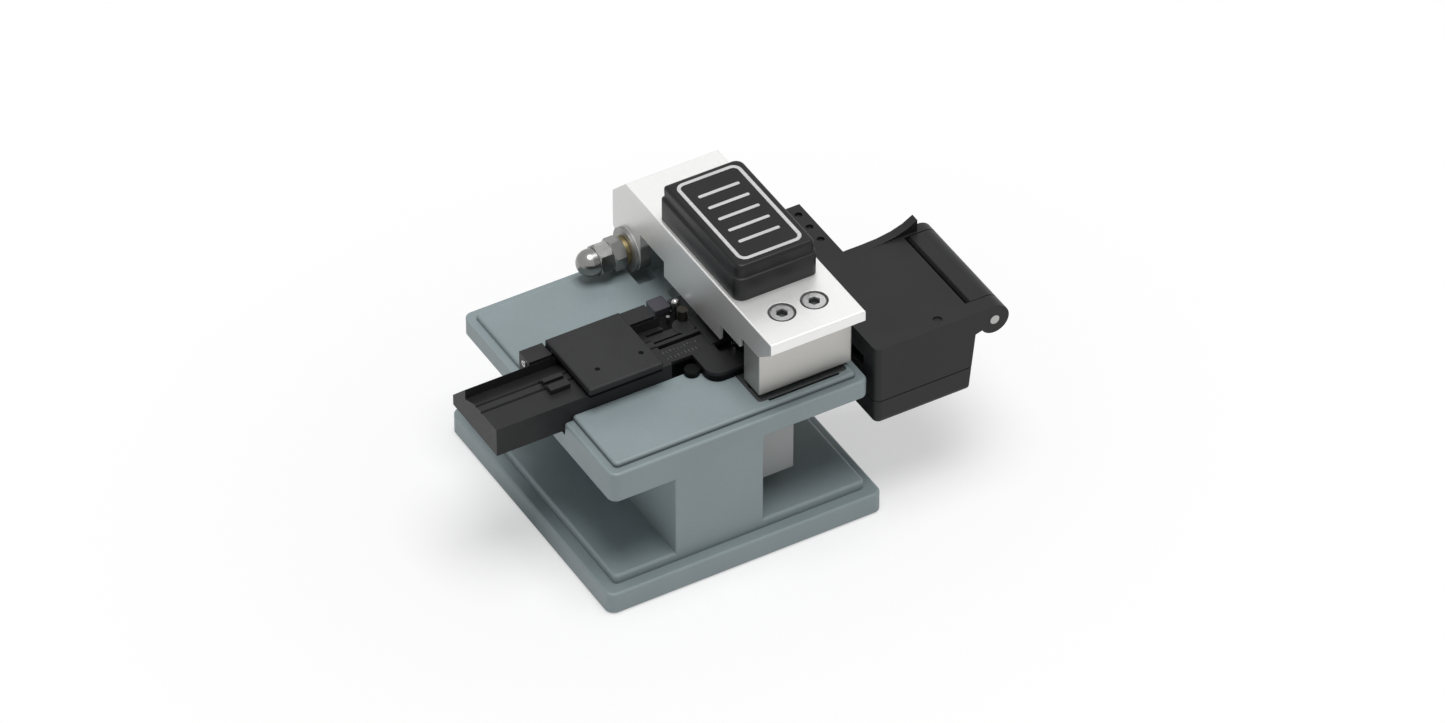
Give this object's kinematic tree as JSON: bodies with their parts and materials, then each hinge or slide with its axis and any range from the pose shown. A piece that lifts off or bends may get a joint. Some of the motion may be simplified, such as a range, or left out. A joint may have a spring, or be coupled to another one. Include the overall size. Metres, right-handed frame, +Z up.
{
  "type": "fibre cleaver",
  "caption": "Bench cleaver for optical fibre: hinged clamp arm over a sliding blade carriage, grooved fibre holder with a lid, and a drop-down scrap box.",
  "frame": {"origin": "on the resting plane, below the middle of the base", "axes": "+X along the fibre from the holder towards the scrap box, -Y the front where the arm is lifted, +Z up"},
  "size_m": [0.1182, 0.0731, 0.0674],
  "materials": {
    "frame_paint": "satin grey powder coat on cast aluminium",
    "pad_rubber": "matt non-slip rubber",
    "arm_aluminium": "light satin anodised aluminium",
    "block_steel": "ground steel",
    "screw_steel": "plain steel screws",
    "nut_steel": "nickel plated nuts and shaft",
    "washer_brass": "pale brass",
    "black_anodised": "satin black anodised aluminium",
    "black_plastic": "satin black moulded plastic",
    "cap_plastic": "satin black moulded cover",
    "trim_silver": "bright silver foil trim",
    "clamp_rubber": "smooth clamp rubber",
    "magnet_nickel": "nickel plated magnets",
    "carriage_metal": "machined aluminium",
    "guide_steel": "ground guide steel",
    "blade_carbide": "polished hard metal",
    "spring_steel": "spring wire"
  },
  "bodies": {
    "base": {"frame": "frame_paint", "base_pad": "pad_rubber", "hinge_shaft": "nut_steel", "brass_washer": "washer_brass", "hinge_nut": "nut_steel", "acorn_nut": "nut_steel", "fibre_holder": "black_anodised", "holder_screws": "screw_steel", "fibre_clip": "black_plastic", "holder_magnets": "magnet_nickel", "lid_hinge_pin": "screw_steel", "left_clamp_bracket": "black_anodised", "right_clamp_bridge": "black_anodised", "lower_clamp_pads": "clamp_rubber", "slide_stop": "black_anodised", "stop_screws": "screw_steel", "scrap_cover": "black_plastic", "cover_bracket": "black_plastic", "cover_screws": "screw_steel", "scrap_hinge_pin": "screw_steel", "detent_post": "black_anodised", "detent_pin": "guide_steel", "guide_post": "guide_steel", "bracket_pins": "screw_steel"},
    "arm": {"clamp_arm": "arm_aluminium", "foot_block": "block_steel", "hold_down_magnet": "magnet_nickel", "arm_screws": "screw_steel", "arm_cap": "cap_plastic", "cap_screws": "screw_steel", "cap_trim": "trim_silver", "clamp_pins": "guide_steel", "clamp_springs": "spring_steel", "anvil": "guide_steel"},
    "upper_clamp": {"clamp_head": "black_anodised", "upper_clamp_pads": "clamp_rubber"},
    "lid": {"holder_lid": "black_anodised", "lid_pad": "clamp_rubber", "lid_magnets": "magnet_nickel"},
    "carriage": {"blade_carriage": "carriage_metal", "carriage_plate": "guide_steel", "plate_screws": "screw_steel", "slide_tongue": "guide_steel", "tongue_screws": "screw_steel"},
    "blade": {"blade_disc": "blade_carbide", "blade_arbor": "guide_steel", "blade_clamp_nut": "guide_steel"},
    "box": {"scrap_box": "black_plastic"}
  },
  "joints": [
    {"name": "arm_hinge", "type": "hinge", "parent": "base", "child": "arm", "pos_m": [0.0196, 0.0297, 0.04], "axis": [-1, 0, 0], "range_deg": [0, 75]},
    {"name": "clamp_float", "type": "slide", "parent": "arm", "child": "upper_clamp", "axis": [0, 0, 1], "range_m": [0, 0.0008], "stiffness_N_per_m": 800, "springref_m": -0.003, "deforming": ["clamp_springs"]},
    {"name": "carriage_slide", "type": "slide", "parent": "base", "child": "carriage", "axis": [0, 1, 0], "range_m": [0, 0.022]},
    {"name": "blade_turn", "type": "hinge", "parent": "carriage", "child": "blade", "pos_m": [0.013, -0.0145, 0.0345], "axis": [1, 0, 0], "continuous": true},
    {"name": "lid_hinge", "type": "hinge", "parent": "base", "child": "lid", "pos_m": [-0.0175, 0.0048, 0.042], "axis": [-1, 0, 0], "range_deg": [0, 110]},
    {"name": "box_hinge", "type": "hinge", "parent": "base", "child": "box", "pos_m": [0.065, -0.0169, 0.0411], "axis": [0, -1, 0], "range_deg": [0, 80]}
  ]
}
